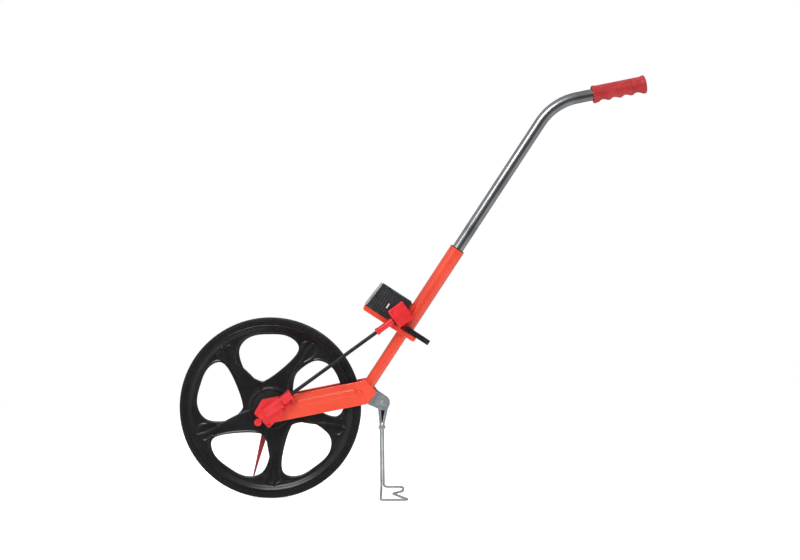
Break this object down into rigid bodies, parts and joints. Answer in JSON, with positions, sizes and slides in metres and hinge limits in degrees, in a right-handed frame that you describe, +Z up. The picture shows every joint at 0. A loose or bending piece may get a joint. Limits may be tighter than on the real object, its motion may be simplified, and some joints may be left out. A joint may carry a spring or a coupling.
{
  "type": "measuring wheel",
  "caption": "Surveyor's measuring wheel: spoked one-metre wheel in a fork, geared rod to a drum counter, sliding bent handle, folding wire stand.",
  "frame": {"origin": "the point where the tyre touches the ground, on the wheel's middle plane", "axes": "+X back towards the handle, +Z up, -Y the side that carries the gearboxes"},
  "size_m": [0.8149, 0.1206, 0.7402],
  "materials": {
    "tyre_rubber": "matt moulded rubber",
    "wheel_plastic": "moulded, slightly glossy black",
    "steel": "turned and zinc plated",
    "zinc": "bright zinc plated",
    "chrome_tube": "bright plated, drawn tube",
    "frame_paint": "orange-red stove enamel",
    "gearbox_plastic": "moulded crimson",
    "grip_vinyl": "soft dipped vinyl, satin",
    "rod_black": "black enamel",
    "counter_black": "moulded black, fine texture",
    "counter_clear": "clear moulded window",
    "bezel_bright": "bright trim",
    "drum_white": "white moulded drum",
    "gear_nylon": "natural nylon",
    "bush_bronze": "sintered bronze",
    "black_nylon": "black nylon",
    "pointer_red": "dark red enamel",
    "spring_steel": "bright wire"
  },
  "bodies": {
    "frame": {"near_arm": "frame_paint", "far_arm": "frame_paint", "fork_bridge": "frame_paint", "arm_rivets": "frame_paint", "near_axle_bush": "bush_bronze", "far_axle_bush": "bush_bronze", "pointer": "pointer_red", "pointer_rivet": "steel", "lower_tube": "frame_paint", "sleeve": "frame_paint", "sleeve_spacer": "steel", "sleeve_liner": "black_nylon", "hub_gearbox": "gearbox_plastic", "gearbox_screws": "gearbox_plastic", "rod_lower_bush": "bush_bronze", "rod_upper_bush": "bush_bronze", "upper_gear_housing": "gearbox_plastic", "housing_screws": "gearbox_plastic", "counter_case": "counter_black", "counter_window": "counter_clear", "counter_bezel": "bezel_bright", "counter_plate": "frame_paint", "counter_saddle": "frame_paint", "counter_screws": "zinc", "drum_shaft": "steel", "idler_pin": "steel", "reset_pivot": "rod_black", "reset_spring": "spring_steel", "stand_bracket": "zinc", "stand_bolt": "zinc", "stand_nut": "zinc"},
    "wheel": {"tyre": "tyre_rubber", "wheel": "wheel_plastic", "axle": "steel", "axle_cross_pin": "steel", "axle_circlip": "spring_steel", "axle_end_washer": "zinc", "axle_end_nut": "zinc", "hub_bevel_gear": "gear_nylon"},
    "rod": {"drive_rod": "rod_black", "lower_pinion": "gear_nylon", "upper_pinion": "gear_nylon"},
    "counter_input": {"input_shaft": "steel", "input_bevel_gear": "gear_nylon", "input_spur_gear": "gear_nylon"},
    "idler": {"idler_gear": "gear_nylon"},
    "handle": {"handle_tube": "chrome_tube", "handle_end_plug": "black_nylon", "grip": "grip_vinyl"},
    "lever": {"reset_lever": "black_nylon"},
    "stand": {"stand_wire": "zinc", "stand_spreader": "black_nylon", "stand_crimp": "zinc"},
    "drum_1": {"digit_drum_1": "drum_white", "drum_spur_gear": "gear_nylon"},
    "drum_2": {"digit_drum_2": "drum_white"},
    "drum_3": {"digit_drum_3": "drum_white"},
    "drum_4": {"digit_drum_4": "drum_white"},
    "drum_5": {"digit_drum_5": "drum_white"}
  },
  "joints": [
    {"name": "wheel_spin", "type": "hinge", "parent": "frame", "child": "wheel", "pos_m": [0, 0, 0.15915], "axis": [0, 1, 0], "continuous": true},
    {"name": "rod_spin", "type": "hinge", "parent": "frame", "child": "rod", "pos_m": [0.04041, -0.029, 0.18859], "axis": [0.8083, 0, 0.5888], "continuous": true},
    {"name": "input_spin", "type": "hinge", "parent": "frame", "child": "counter_input", "pos_m": [0.2243, -0.029, 0.32254], "axis": [0, 1, 0], "continuous": true},
    {"name": "idler_spin", "type": "hinge", "parent": "frame", "child": "idler", "pos_m": [0.21954, 0, 0.33268], "axis": [0, 1, 0], "continuous": true},
    {"name": "drum_1_spin", "type": "hinge", "parent": "frame", "child": "drum_1", "pos_m": [0.21308, 0, 0.34644], "axis": [0, 1, 0], "continuous": true},
    {"name": "drum_2_spin", "type": "hinge", "parent": "frame", "child": "drum_2", "pos_m": [0.21308, 0, 0.34644], "axis": [0, 1, 0], "continuous": true},
    {"name": "drum_3_spin", "type": "hinge", "parent": "frame", "child": "drum_3", "pos_m": [0.21308, 0, 0.34644], "axis": [0, 1, 0], "continuous": true},
    {"name": "drum_4_spin", "type": "hinge", "parent": "frame", "child": "drum_4", "pos_m": [0.21308, 0, 0.34644], "axis": [0, 1, 0], "continuous": true},
    {"name": "drum_5_spin", "type": "hinge", "parent": "frame", "child": "drum_5", "pos_m": [0.21308, 0, 0.34644], "axis": [0, 1, 0], "continuous": true},
    {"name": "handle_slide", "type": "slide", "parent": "frame", "child": "handle", "axis": [0.5461, 0, 0.8377], "range_m": [-0.08, 0]},
    {"name": "reset_lever_turn", "type": "hinge", "parent": "frame", "child": "lever", "pos_m": [0.23941, 0, 0.30014], "axis": [0, -1, 0], "range_deg": [0, 25], "stiffness_Nm_per_rad": 0.04, "springref_deg": -8.59},
    {"name": "stand_fold", "type": "hinge", "parent": "frame", "child": "stand", "pos_m": [0.1975, 0, 0.168], "axis": [0, -1, 0], "range_deg": [0, 135]}
  ],
  "couplings": [
    {"joint": "rod_spin", "follows": "wheel_spin", "ratio": -2},
    {"joint": "input_spin", "follows": "wheel_spin", "ratio": 2},
    {"joint": "idler_spin", "follows": "wheel_spin", "ratio": -1.1111},
    {"joint": "drum_1_spin", "follows": "wheel_spin", "ratio": 1},
    {"joint": "drum_2_spin", "follows": "wheel_spin", "ratio": 0.1},
    {"joint": "drum_3_spin", "follows": "wheel_spin", "ratio": 0.01},
    {"joint": "drum_4_spin", "follows": "wheel_spin", "ratio": 0.001},
    {"joint": "drum_5_spin", "follows": "wheel_spin", "ratio": 0.0001}
  ]
}
